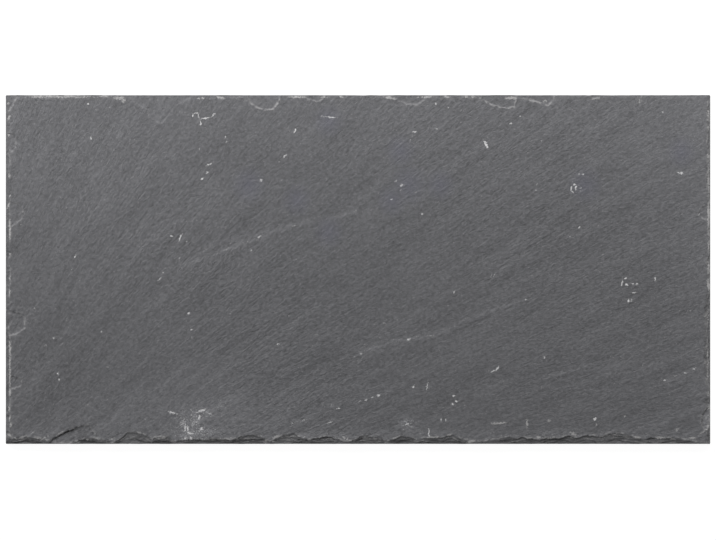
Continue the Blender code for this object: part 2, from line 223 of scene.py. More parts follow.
# A mark is a pale scuff: its middle, half its length and half its width in millimetres, its
# turn in degrees and its strength.
Mark = namedtuple("Mark", "x y length width turn strength")
SCUFFS = (
    # the hook-shaped scrape near the back left
    Mark(-137.6, 133, 3.4, 0.5, 0, 1), Mark(-140.5, 131.2, 1.9, 0.5, 92, 1),
    Mark(-135.6, 130.6, 2.6, 0.5, -72, 1), Mark(-130, 128.7, 4.6, 0.6, 9, 1.2),
    Mark(-123.2, 131.2, 3.2, 0.6, 38, 1.1), Mark(-134, 124.6, 2.6, 0.5, 95, 1),
    Mark(-129.8, 120.6, 1, 0.6, 0, 0.7),
    # strokes below it
    Mark(-135, 102.7, 1.6, 0.8, 70, 0.7), Mark(-126.5, 89.6, 3.8, 0.8, 25, 0.9),
    Mark(-128, 82.6, 2.4, 0.7, 40, 0.9), Mark(-132.5, 77.2, 1.6, 0.9, 40, 1.1),
    Mark(-112, 108.6, 1.4, 0.8, 60, 0.95), Mark(-112.5, 112.4, 1.3, 0.7, 60, 0.8),
    Mark(-158.5, 28.4, 1.6, 0.8, -20, 1), Mark(-151.3, 26.5, 5.2, 0.7, 69, 1),
    Mark(-145.5, 24, 1.8, 0.7, 70, 0.8), Mark(-151.8, 9.4, 2, 0.6, 85, 0.7),
    Mark(-165.8, -2.8, 1.2, 0.8, 0, 0.9), Mark(-240.6, 11.1, 3.2, 0.9, 70, 0.8),
    Mark(-243.3, 0.3, 1.6, 0.7, 70, 0.6), Mark(-198, 8.8, 1.5, 0.9, 70, 0.6),
    Mark(-174.7, 48.2, 1.2, 0.7, 40, 0.6), Mark(-227, 112, 1.5, 0.8, 60, 0.95),
    Mark(-211, 138, 1.4, 0.8, 20, 0.6), Mark(-229.7, 140.7, 1.5, 0.9, 50, 0.9),
    Mark(-286.4, 38.2, 1.2, 0.7, 60, 0.6),
    # the pale dash by the back edge, and the sprinkle below it
    Mark(-24.4, 129.7, 8.6, 0.6, -6, 0.9), Mark(-53.5, 118, 3.2, 0.6, 52, 1),
    Mark(-61.9, 96.8, 2.9, 0.7, 42, 0.9), Mark(-66.9, 91.7, 1.2, 0.6, 50, 0.7),
    Mark(-82.3, 75.9, 1.8, 1.1, 40, 0.95), Mark(47.8, 117, 3, 0.6, 12, 0.9),
    Mark(44.5, 109.6, 1.4, 0.7, 90, 0.8), Mark(66.9, 119.7, 1.3, 0.8, 0, 0.8),
    Mark(59.3, 119.6, 3.4, 0.9, 20, 0.5), Mark(43.5, 126, 1.2, 0.6, 90, 0.6),
    Mark(66, 140.7, 1.3, 0.9, 0, 0.9), Mark(76.6, 138, 1.3, 0.9, 0, 0.7),
    Mark(87.7, 135.3, 1.5, 0.9, 20, 0.7), Mark(32.3, 75.3, 1.8, 0.7, 50, 0.8),
    Mark(37.4, 71.6, 2.2, 0.9, 20, 0.9), Mark(36.4, 67.6, 1.6, 0.8, 30, 0.8),
    Mark(28.4, 59.7, 1.8, 0.6, 10, 0.8), Mark(49, 65.5, 1.5, 0.6, 10, 0.7),
    Mark(54.8, 47.2, 1.6, 0.9, 30, 0.8), Mark(-55.8, 36.3, 5, 0.6, 18, 0.6),
    Mark(-91, 16.3, 1.3, 0.8, 20, 0.8), Mark(-151.2, 4.7, 9.4, 0.5, 24, 0.4),
    Mark(-115.5, 20.5, 14, 0.5, 9, 0.35), Mark(-96.7, 19.2, 5, 0.5, 54, 0.45),
    Mark(-84, 27.8, 2.9, 0.6, 27, 0.8), Mark(-112.9, 16.8, 3.6, 0.5, 28, 0.5),
    Mark(-32, 45.6, 6, 0.6, 22, 0.5), Mark(-1.7, 50.3, 2.6, 1.2, 30, 0.5),
    # scrapes on the right half
    Mark(108.7, 106.3, 3.8, 1, -63, 1.2), Mark(138, 130.5, 1.6, 1, 20, 0.9),
    Mark(130, 124.1, 1.5, 0.9, 45, 0.9), Mark(156.4, 109.4, 1.3, 0.8, 20, 0.7),
    Mark(144.8, 99.2, 2.2, 0.6, 0, 0.6), Mark(181.5, 69, 2.5, 0.6, 76, 1.1),
    Mark(185.3, 69.6, 2.5, 0.6, 76, 1.1), Mark(184.2, 72.3, 1.5, 0.6, 20, 1.1),
    Mark(182.4, 66, 1.8, 0.6, -20, 1.1), Mark(189.2, 69, 1.3, 0.7, 60, 0.9),
    Mark(189, 66.6, 1.4, 0.5, 0, 0.8), Mark(191.2, 81, 0.9, 0.6, 80, 0.9),
    Mark(188, 81.2, 1.2, 0.6, 60, 0.9), Mark(152.2, 72.6, 1.2, 0.7, 80, 0.8),
    Mark(151.2, 67.6, 1, 0.6, 80, 0.7), Mark(272.4, 82.3, 1.8, 0.6, 0, 0.9),
    Mark(275, 81.9, 2, 1.1, 10, 1.1), Mark(259, 133.8, 1.4, 1.1, 10, 0.8),
    Mark(188.2, 35.9, 1.4, 0.9, 60, 0.85), Mark(180.2, 28.1, 1.1, 0.6, 60, 0.8),
    Mark(117.5, 47.6, 6.5, 0.6, 0, 0.55), Mark(290, 47, 1.4, 0.8, 80, 0.8),
    Mark(290.6, 52, 1.2, 0.7, 80, 0.7), Mark(224.6, -11.5, 3.4, 0.6, 82, 1.1),
    Mark(227.6, -7.4, 1.8, 0.6, 20, 1.1), Mark(233.5, -11.9, 1.6, 0.8, 10, 1),
    Mark(228.5, -13, 1.6, 0.8, -40, 1.1), Mark(237.4, -12.5, 1.6, 0.7, 10, 1.1),
    Mark(235, -19.5, 2.6, 0.6, 10, 0.85), Mark(230, -26.6, 2.2, 0.8, 75, 1.1),
    Mark(252.7, -8.2, 2.8, 0.8, 85, 0.9), Mark(232.4, -26.2, 1.4, 0.7, 80, 0.8),
    Mark(113.4, -5, 2.6, 0.6, 75, 0.7), Mark(116, -5, 2.6, 0.6, 75, 0.7),
    Mark(281.5, -35, 4.4, 0.6, 0, 0.6), Mark(142.9, -25.4, 1.9, 0.6, 0, 0.8),
    Mark(158.3, -74.5, 1.5, 0.7, 80, 1), Mark(114.5, -86.5, 3, 0.8, 25, 1),
    Mark(118.6, -84, 2.8, 0.8, 58, 1.1), Mark(111, -86.4, 1.4, 0.6, 88, 0.7),
    Mark(242.3, -80.9, 1.5, 0.7, 80, 0.7), Mark(217.6, -97, 1.8, 0.7, 84, 0.7),
    Mark(169, -93.4, 6.5, 0.6, 10, 0.5), Mark(260.8, -93.7, 1.5, 0.8, 10, 0.8),
    Mark(270.5, -89.9, 3.2, 0.6, 18, 0.55), Mark(277.5, -87.6, 1.7, 0.7, 20, 0.75),
    Mark(285.5, -84.4, 2.2, 0.8, 20, 0.85),
    # the left part of the lower half
    Mark(-274.7, -33.1, 1.3, 0.8, 30, 0.8), Mark(-255.2, -88.6, 1.4, 0.7, 80, 1),
    Mark(-254.4, -93.6, 1.3, 0.8, 80, 1), Mark(-266.4, -64.7, 2, 0.7, 20, 0.7),
    Mark(-258.9, -58.3, 1.4, 0.8, 30, 0.8), Mark(-218.6, -52.9, 1.5, 0.9, 30, 0.7),
    Mark(-213, -82.8, 1.5, 0.8, 10, 0.85), Mark(-168.3, -7.4, 2.6, 0.7, 50, 0.85),
    Mark(-188.6, -6.3, 3, 0.6, 25, 0.55), Mark(-143.7, -37, 1.4, 0.8, 20, 1),
    Mark(-141.4, -50.9, 1.3, 0.8, 30, 0.95), Mark(-141.2, -57.6, 1.8, 0.5, 90, 0.6),
    Mark(-109, -37.4, 1.6, 0.9, 60, 0.6), Mark(-255, -127.5, 6, 2, 15, 0.4),
    # the bruised patch near the front left
    Mark(-158, -121.7, 3.6, 0.8, -12, 1), Mark(-132.8, -119.9, 4.6, 0.8, 20, 0.8),
    Mark(-135, -125.6, 1.8, 0.8, 90, 0.9), Mark(-147, -134.6, 2.8, 0.7, 88, 1),
    Mark(-144.8, -134.6, 2.8, 0.7, 92, 1), Mark(-142.9, -139.4, 1.8, 0.9, 0, 1),
    Mark(-133.1, -135.4, 1.7, 0.9, 40, 0.9), Mark(-147, -143.5, 1.2, 0.8, 90, 0.9),
    Mark(-142.2, -143.5, 1.2, 0.8, 90, 0.9), Mark(-126, -122.5, 5, 1.6, -15, 0.42),
    Mark(-150, -131, 4, 2.4, 60, 0.4), Mark(-138, -130, 4.6, 2.2, 30, 0.36),
    # the middle of the lower half
    Mark(-49.9, -13.1, 3.4, 0.8, 60, 0.6), Mark(-58.4, -39.3, 1.3, 0.8, 30, 0.6),
    Mark(-68.4, -63.3, 1.4, 0.8, 30, 0.9), Mark(-35.2, -55.3, 3, 0.8, 5, 0.7),
    Mark(-1.5, -52.6, 7, 0.7, 8, 0.5), Mark(14, -46.5, 2.4, 0.7, 14, 0.6),
    Mark(22.5, -45.8, 3, 0.7, -10, 0.65), Mark(33, -61.6, 3.4, 0.6, 15, 0.55),
    Mark(40.8, -52.6, 1.4, 0.8, 30, 0.7), Mark(42.9, -59.6, 2, 0.8, 20, 0.95),
    Mark(51.2, -56.2, 1.3, 0.8, 30, 0.6), Mark(62.8, -56.8, 2.8, 0.8, 5, 0.6),
    Mark(2.6, -71.9, 1.8, 0.7, 28, 0.7), Mark(-3.5, -75, 2, 0.6, 28, 0.5),
    Mark(76.6, -30.6, 1.3, 0.8, 30, 0.6), Mark(81.8, -19, 1.8, 1, 60, 0.95),
    Mark(47, -99.7, 1.9, 0.9, 60, 1), Mark(58.8, -98.9, 6, 0.8, 80, 0.9),
    Mark(-16.2, -118, 3, 0.7, 15, 0.9), Mark(-22, -115, 2.4, 0.8, 10, 0.6),
    Mark(0.5, -112.4, 2.2, 0.6, 20, 0.7), Mark(6.6, -110.9, 1.7, 0.8, 20, 0.85),
    Mark(12, -109, 2.5, 0.5, 20, 0.6), Mark(17.6, -107, 1.7, 0.9, 20, 0.9),
    Mark(81.2, -107.3, 1.4, 0.9, 0, 1.1), Mark(83.8, -112, 1.4, 0.9, 0, 1.1),
    Mark(80.5, -114.5, 1.3, 0.9, 0, 1), Mark(72, -117.2, 1.3, 0.8, 0, 0.6),
    Mark(70.7, -127.6, 1.6, 0.8, 90, 1), Mark(74.6, -128.3, 1.4, 0.7, 90, 0.8),
    Mark(-24, -130.2, 3, 0.6, 15, 0.9), Mark(6.8, -128.3, 2.4, 0.8, 0, 0.6),
    Mark(42, -131.5, 1.6, 0.6, 20, 0.8), Mark(60.3, -138.6, 4.6, 0.6, 90, 0.9),
    Mark(201.5, -127.1, 1.6, 1.1, 50, 1.2), Mark(-56, -130.8, 1.5, 0.9, 30, 0.8),
    Mark(-47.5, -128.5, 6.5, 0.7, 12, 0.6),
)

# Pale chips along the edges, listed as the marks are; the back ones are partly painted highlight.
CHIPS_AND_RIM_HIGHLIGHTS = (
    # along the front edge
    Mark(202.4, -131.9, 1.6, 0.8, 80, 0.8), Mark(226.7, -124.4, 1.3, 1, 0, 0.9),
    Mark(143.6, -131.2, 4.4, 0.8, 90, 0.9), Mark(162.8, -128.6, 1.6, 1, 0, 0.9),
    Mark(183, -139.5, 3.8, 1.2, -28, 0.9), Mark(153.1, -142.5, 1.9, 1, 0, 1.1),
    Mark(121, -130.8, 8.6, 0.8, 3, 0.85), Mark(271.6, -135.9, 2.2, 1, 40, 0.9),
    Mark(63, -142.8, 12, 0.6, 0, 0.8), Mark(-266, -142.6, 5, 0.8, 30, 0.7),
    Mark(96.4, -146.1, 3.4, 0.9, 12, 1.3), Mark(165, -143.2, 9.5, 0.7, 0, 0.7),
    Mark(257, -143, 3.4, 0.8, 0, 1.3), Mark(284.5, -143.6, 3.4, 0.7, 0, 1.3),
    Mark(225, -143.5, 3.4, 0.8, 20, 0.5), Mark(-115, -144, 28, 1.6, 2, 0.55),
    Mark(-167, -143.3, 5.8, 0.8, 8, 0.8), Mark(-253.5, -139, 3.4, 0.7, 25, 0.9),
    Mark(-230.1, -144.5, 1.2, 0.8, 0, 1.2), Mark(-209, -144.3, 3.4, 0.8, 6, 0.8),
    Mark(-69.5, -142.3, 4, 0.6, 20, 1), Mark(-78.5, -145.6, 1.2, 0.7, 0, 1.1),
    Mark(-72, -146.2, 1.2, 0.7, 0, 1), Mark(-46, -142.4, 2.2, 0.6, 0, 0.9),
    Mark(-41.3, -144.3, 1.8, 0.6, 0, 1), Mark(-12, -143, 1.8, 0.8, -60, 1.2),
    Mark(-9, -144, 1.6, 0.6, 60, 1), Mark(-7, -145.4, 2.4, 0.7, 10, 1),
    Mark(237.5, -142.7, 3.8, 0.6, -8, 1.1), Mark(77.5, -140.8, 2.4, 0.6, 10, 0.9),
    Mark(-25, -143.8, 9, 0.6, 8, 0.6),
    # along the left edge
    Mark(-296.6, -118.5, 3, 0.8, 93, 1), Mark(-296.1, -126, 2.6, 0.9, 86, 1),
    Mark(-295.2, -132.2, 2.2, 0.9, 78, 1.1), Mark(-296.4, -140.8, 2.4, 0.8, -40, 1.3),
    Mark(-291.6, -143.4, 1.8, 0.8, 0, 1), Mark(-285.5, -142.4, 2.6, 0.7, 20, 1),
    Mark(-276.4, -138.6, 1.8, 0.6, 35, 0.8), Mark(-270.5, -144.4, 3.6, 0.8, -8, 1),
    Mark(-296.1, -68, 6.6, 0.8, 90, 1.1), Mark(-296.1, -86, 25, 0.8, 90, 0.9),
    Mark(-296.1, 34, 9.4, 0.8, 90, 1.1), Mark(-296.2, 12.8, 1.4, 1, 90, 1),
    Mark(-296.3, -6.6, 3.2, 0.9, 88, 0.8), Mark(-296.3, -19.5, 4, 0.8, 90, 0.8),
    Mark(-296.6, 80, 3.6, 0.9, 92, 0.8), Mark(-296, -105, 4.2, 0.9, 88, 1),
    Mark(-297.4, 54.5, 4.2, 0.9, 66, 0.9), Mark(-296.9, 129.3, 2.6, 1.1, 80, 1),
    Mark(-297.4, 141.2, 1.2, 0.9, 80, 1), Mark(-297.2, 114.4, 1.2, 0.9, 90, 1),
    Mark(-283.6, -45.6, 4.8, 0.6, 90, 0.5), Mark(-296.5, -108, 2.4, 0.9, 90, 0.7),
    Mark(-296, 63, 1.6, 0.8, 90, 0.7),
    # along the right edge
    Mark(298, 133, 4.2, 0.8, 90, 1), Mark(298, 120, 3, 0.7, 90, 0.8),
    Mark(298, 96.8, 2.2, 1, 90, 1), Mark(298, 77, 14, 0.7, 90, 0.95),
    Mark(298, 46, 14, 0.8, 90, 1.1), Mark(298, 20, 9, 0.6, 90, 0.8), Mark(297.9, 2, 6, 0.7, 86, 1),
    Mark(298, -13, 5, 1, 94, 1.1), Mark(297.7, -38, 12, 0.7, 89, 0.8),
    Mark(297.6, -78, 20, 0.7, 90, 0.8), Mark(298.2, -117.4, 3, 0.9, 45, 1.1),
    Mark(296, -126, 5, 3.4, 90, 0.5), Mark(293.3, -138.3, 5.8, 0.7, 34, 0.9),
    Mark(298.2, -132, 3.6, 0.7, 70, 0.7),
    # along the back edge: chips, and a painted highlight on the rim that faces the light
    Mark(-252, 146.9, 34, 1, 0, 0.85), Mark(-272, 147, 9, 1, 0, 0.9),
    Mark(-203, 145.9, 5, 1.2, 0, 1), Mark(-199.5, 143.6, 1.8, 1.6, 0, 1),
    Mark(-190, 143, 6, 1.2, -40, 0.4), Mark(-215, 147.2, 6, 0.9, 0, 0.8),
    Mark(-135.5, 145.6, 1.6, 0.9, 0, 0.9), Mark(-131.8, 145.8, 1.4, 0.9, 0, 0.9),
    Mark(-117, 146.2, 4, 1, -8, 1), Mark(-104, 146.6, 6, 0.8, 0, 0.6),
    Mark(-52, 146.8, 10, 0.8, 0, 0.9), Mark(-30, 146.6, 6, 0.8, 0, 0.8),
    Mark(-14, 146.7, 2, 1, 0, 0.9), Mark(26.5, 146.2, 5.5, 1.1, -8, 1),
    Mark(57, 146.8, 8, 0.8, 0, 0.9), Mark(76, 146.9, 3, 0.9, 0, 0.9),
    Mark(92, 146.8, 1.8, 0.9, 0, 0.9), Mark(98, 146.9, 2.4, 0.9, 0, 0.9),
    Mark(130, 146, 5.4, 1.1, 0, 1.1), Mark(150, 144, 7, 0.9, -22, 0.6),
    Mark(159, 143.4, 2.2, 1.2, 0, 0.8), Mark(201.5, 145.6, 4.4, 0.9, 20, 0.6),
    Mark(239.5, 143.6, 4, 0.7, 90, 0.7), Mark(-178, 132, 4.4, 1, -62, 0.5),
)

# Patches paler from rubbing, and painted ridge highlights, listed as the marks are.
RUBS_AND_RIDGE_HIGHLIGHTS = (
    Mark(-140, -126, 19, 11, 10, 0.8), Mark(-136, -139, 26, 7, 5, 0.9),
    Mark(-140, -132, 82, 22, 0, 0.45), Mark(-118, -117, 16, 8, 20, 0.6),
    Mark(42, -131.5, 8, 5.5, 0, 0.8), Mark(-75, -133, 40, 10, 2, 0.35),
    Mark(-190, -112, 14, 9, 20, 0.25), Mark(296, -126, 5, 4, 90, 0.5),
    # painted highlights on the ridges' light-facing steps; the last three follow the front rim
    Mark(-112, 17, 36, 1.3, 21.5, 0.36), Mark(-62, 36, 24, 1.1, 18, 0.38),
    Mark(-16, 46, 24, 1, 12, 0.3), Mark(-150, 6, 30, 1.3, 23, 0.2),
    Mark(-92, 30, 22, 1.1, 16, 0.2), Mark(12, -67, 22, 1.1, 19, 0.42),
    Mark(50, -58, 18, 1, 9, 0.4), Mark(77, -50, 15, 1, 26, 0.4), Mark(114, -35, 27, 1.1, 19, 0.42),
    Mark(178, -87, 25, 1, 18.5, 0.34), Mark(275, -89.5, 17, 1, 19, 0.38),
    Mark(16, -107, 20, 1.1, 17, 0.36), Mark(-225, -141, 64, 4.5, 0, 0.4),
    Mark(-10, -141.5, 150, 4, 0, 0.45), Mark(190, -141.5, 110, 4, 0, 0.5),
)

# Broad patches where the face is paler or darker: x, y and the two radii in millimetres, and
# how much.
PATCHES = (
    (-220, 82, 70, 82, 0.080), (-124, -104, 66, 40, 0.095), (-266, -77, 42, 40, -0.075),
    (-284, 29, 28, 26, -0.065), (-6, 12, 140, 62, -0.055), (177, 38, 48, 40, -0.045),
    (241, 110, 42, 52, 0.04), (254, -26, 46, 26, -0.045), (-125, 25, 50, 30, 0.04),
    (-185, -42, 48, 22, -0.035), (-8, -124, 28, 18, 0.02),
)

# Faint violet stains: x, y and radius in millimetres.
STAINS = (
    (-25, 126, 8), (-93, 72, 9), (-52, 59, 8), (-25, 32, 8), (36, 101, 8), (43, 72, 10),
    (29, 59, 8), (70, 72, 8), (193, 72, 9), (275, 100, 8),
)


class SlabShape(bpy.types.PropertyGroup):
    """Sizes of the stone's mesh and relief."""

    cells: IntProperty(
        name="Cells", description="Cells along the length of the upper face",
        default=244, min=60, max=320,
    )
    edge_band: FloatProperty(
        name="Edge band", description="Width round the face where the mesh is finer",
        default=0.0125, min=0.004, max=0.03, unit="LENGTH",
    )
    rim_band: FloatProperty(
        name="Rim band", description="Width round the face where it is finer still",
        default=0.0055, min=0.002, max=0.03, unit="LENGTH",
    )
    front_band: FloatProperty(
        name="Front band", description="Width of that finer mesh along the front edge",
        default=0.0098, min=0.004, max=0.03, unit="LENGTH",
    )
    rings: IntProperty(
        name="Wall rings", description="Rows of faces down the walls",
        default=7, min=3, max=16,
    )
    swell: FloatProperty(
        name="Swell", description="Height of the riven face's broad swells",
        default=0.0005, min=0, max=0.002, unit="LENGTH",
    )
    wave: FloatProperty(
        name="Wave", description="Height of the low waves along the grain",
        default=0.00015, min=0, max=0.001, unit="LENGTH",
    )
    wall_step: FloatProperty(
        name="Wall step", description="How far a lamina of the wall stands back",
        default=0.0011, min=0, max=0.003, unit="LENGTH",
    )


class SlabColours(bpy.types.PropertyGroup):
    """Colours of the slate."""

    stone: FloatVectorProperty(
        name="Stone", description="Colour of the riven face",
        default=(0.0975, 0.0995, 0.1055), min=0, max=1, subtype="COLOR",
    )
    broken: FloatVectorProperty(
        name="Broken stone", description="Colour of the broken edges",
        default=(0.122, 0.124, 0.129), min=0, max=1, subtype="COLOR",
    )
    bruise: FloatVectorProperty(
        name="Bruise", description="Colour of bruised rims",
        default=(0.31, 0.31, 0.31), min=0, max=1, subtype="COLOR",
    )
    scuff: FloatVectorProperty(
        name="Scuff", description="Colour of scuffs, where the slate is powdered",
        default=(0.53, 0.535, 0.54), min=0, max=1, subtype="COLOR",
    )
    stain: FloatVectorProperty(
        name="Stain", description="Colour of the violet stains",
        default=(0.096, 0.098, 0.125), min=0, max=1, subtype="COLOR",
    )


class StudioSettings(bpy.types.PropertyGroup):
    """The floor, the lights and the camera."""

    floor: FloatVectorProperty(
        name="Floor", description="Colour of the floor",
        default=(0.12, 0.12, 0.12), min=0, max=1, subtype="COLOR",
    )
    floor_glow: FloatProperty(
        name="Floor glow", description="Light that the floor gives off, which hides shadows",
        default=0.965, min=0, max=2,
    )
    key: FloatProperty(
        name="Key light", description="Power of the soft light at the back",
        default=11.9, min=0, max=500, subtype="POWER",
    )
    key_colour: FloatVectorProperty(
        name="Key colour", description="Colour of the key light",
        default=(1.0, 0.985, 0.985), min=0, max=1, subtype="COLOR",
    )
    side: FloatProperty(
        name="Side light", description="Power of the softer light further off to the back left",
        default=640, min=0, max=2000, subtype="POWER",
    )
    fill: FloatProperty(
        name="Fill light", description="Strength of the light from all round",
        default=0.10, min=0, max=5,
    )
    lens: FloatProperty(
        name="Lens", description="Focal length of the camera",
        default=400, min=20, max=800, unit="CAMERA",
    )
    view_width: FloatProperty(
        name="View width", description="Width of what the camera sees at the slab's foot",
        default=0.6098, min=0.1, max=5, unit="LENGTH",
    )


class Value:
    """A socket of a material's node tree. Python's operators add Math nodes to it."""

    def __init__(self, nodes, socket):
        self.nodes = nodes
        self.socket = socket

    def math(self, operation, *terms):
        inputs = dict(enumerate(terms))
        return self.nodes.add("ShaderNodeMath", {"operation": operation}, inputs)

    def __add__(self, other):
        return self.math("ADD", self, other)

    def __radd__(self, other):
        return self.math("ADD", other, self)

    def __sub__(self, other):
        return self.math("SUBTRACT", self, other)

    def __rsub__(self, other):
        return self.math("SUBTRACT", other, self)

    def __mul__(self, other):
        return self.math("MULTIPLY", self, other)

    def __rmul__(self, other):
        return self.math("MULTIPLY", other, self)

    def __truediv__(self, other):
        return self.math("DIVIDE", self, other)

    def __abs__(self):
        return self.math("ABSOLUTE", self)

    def over(self, other):
        """The larger of the two."""
        return self.math("MAXIMUM", self, other)

    def ramp(self, low, high):
        """A smooth rise from 0 at low to 1 at high."""
        settings = {"interpolation_type": "SMOOTHSTEP"}
        inputs = {"Value": self, "From Min": low, "From Max": high}
        return self.nodes.add("ShaderNodeMapRange", settings, inputs)


class MaterialNodes:
    """Adds nodes to a new material."""

    def __init__(self, name):
        self.material = bpy.data.materials.new(name)
        self.material.use_nodes = True
        self.tree = self.material.node_tree
        self.shader = self.tree.nodes["Principled BSDF"]

    def add(self, kind, settings=None, inputs=None, output=0):
        """Adds a node, sets it up, fills or links its sockets and returns one output."""
        node = self.tree.nodes.new(kind)
        for name, setting in (settings or {}).items():
            setattr(node, name, setting)
        for name, term in (inputs or {}).items():
            self.feed(node.inputs[name], term)
        return Value(self, node.outputs[output])

    def feed(self, socket, term):
        if isinstance(term, Value):
            self.tree.links.new(term.socket, socket)
        else:
            socket.default_value = term

    def noise(self, vector, scale, detail=2.0, roughness=0.5, distortion=0.0):
        inputs = {"Vector": vector, "Scale": scale, "Detail": detail, "Roughness": roughness}
        inputs["Distortion"] = distortion
        return self.add("ShaderNodeTexNoise", {"noise_dimensions": "3D"}, inputs)

    def vector(self, x, y, z):
        return self.add("ShaderNodeCombineXYZ", None, {0: x, 1: y, 2: z})

    def blend(self, factor, first, second):
        """Mixes two colours, from the first at 0 to the second at 1."""
        settings = {"data_type": "RGBA"}
        return self.add("ShaderNodeMix", settings, {0: factor, 6: first, 7: second}, 2)

    def scaled(self, colour, factor):
        settings = {"operation": "SCALE"}
        return self.add("ShaderNodeVectorMath", settings, {0: colour, "Scale": factor})

    def spot(self, coordinates, place, size, turn=0.0):
        """1 in the middle of an ellipse on the face, falling to 0 at its outline."""
        inputs = {
            "Vector": coordinates,
            "Location": (*place, THICKNESS),
            "Rotation": (0, 0, math.radians(turn)),
            "Scale": (*size, 1),
        }
        local = self.add("ShaderNodeMapping", {"vector_type": "TEXTURE"}, inputs)
        settings = {"gradient_type": "SPHERICAL"}
        return self.add("ShaderNodeTexGradient", settings, {"Vector": local}, "Fac")

    def marks(self, coordinates, marks):
        """The strongest of the marks at each place."""
        total = None
        for mark in marks:
            size = (mark.length * MM * SPOT_LENGTH, mark.width * MM * SPOT_WIDTH)
            spot = self.spot(coordinates, (mark.x * MM, mark.y * MM), size, mark.turn)
            spot = spot * (mark.strength * SPOT_STRENGTH)
            total = spot if total is None else total.over(spot)
        return total


def rgba(colour):
    return (*colour, 1)


def grain(nodes, x, y, z, size, detail=2.5, distortion=0.7):
    """Streaks of one size along the grain, which fans out from its origin: values about 0."""
    across, along = size
    from_x = x - GRAIN_ORIGIN[0]
    from_y = y - GRAIN_ORIGIN[1]
    squared = from_x * from_x + from_y * from_y
    away = squared.math("SQRT", squared)
    turn = from_y.math("ARCTAN2", from_y, from_x)
    total = None
    # Three rings round the origin keep the streaks' width even as they fan out.
    for near, radius, far, strength in (
        (0.1, 0.30, 0.48, 0.9), (0.30, 0.48, 0.72, 1.05), (0.48, 0.72, 1.3, 0.9),
    ):
        share = away.ramp(near, radius) * (1 - away.ramp(radius, far)) * strength
        place = nodes.vector(turn * (radius / across), away / along, z / across)
        streaks = (nodes.noise(place, 1, detail, 0.6, distortion) - 0.5) * share
        total = streaks if total is None else total + streaks
    return total


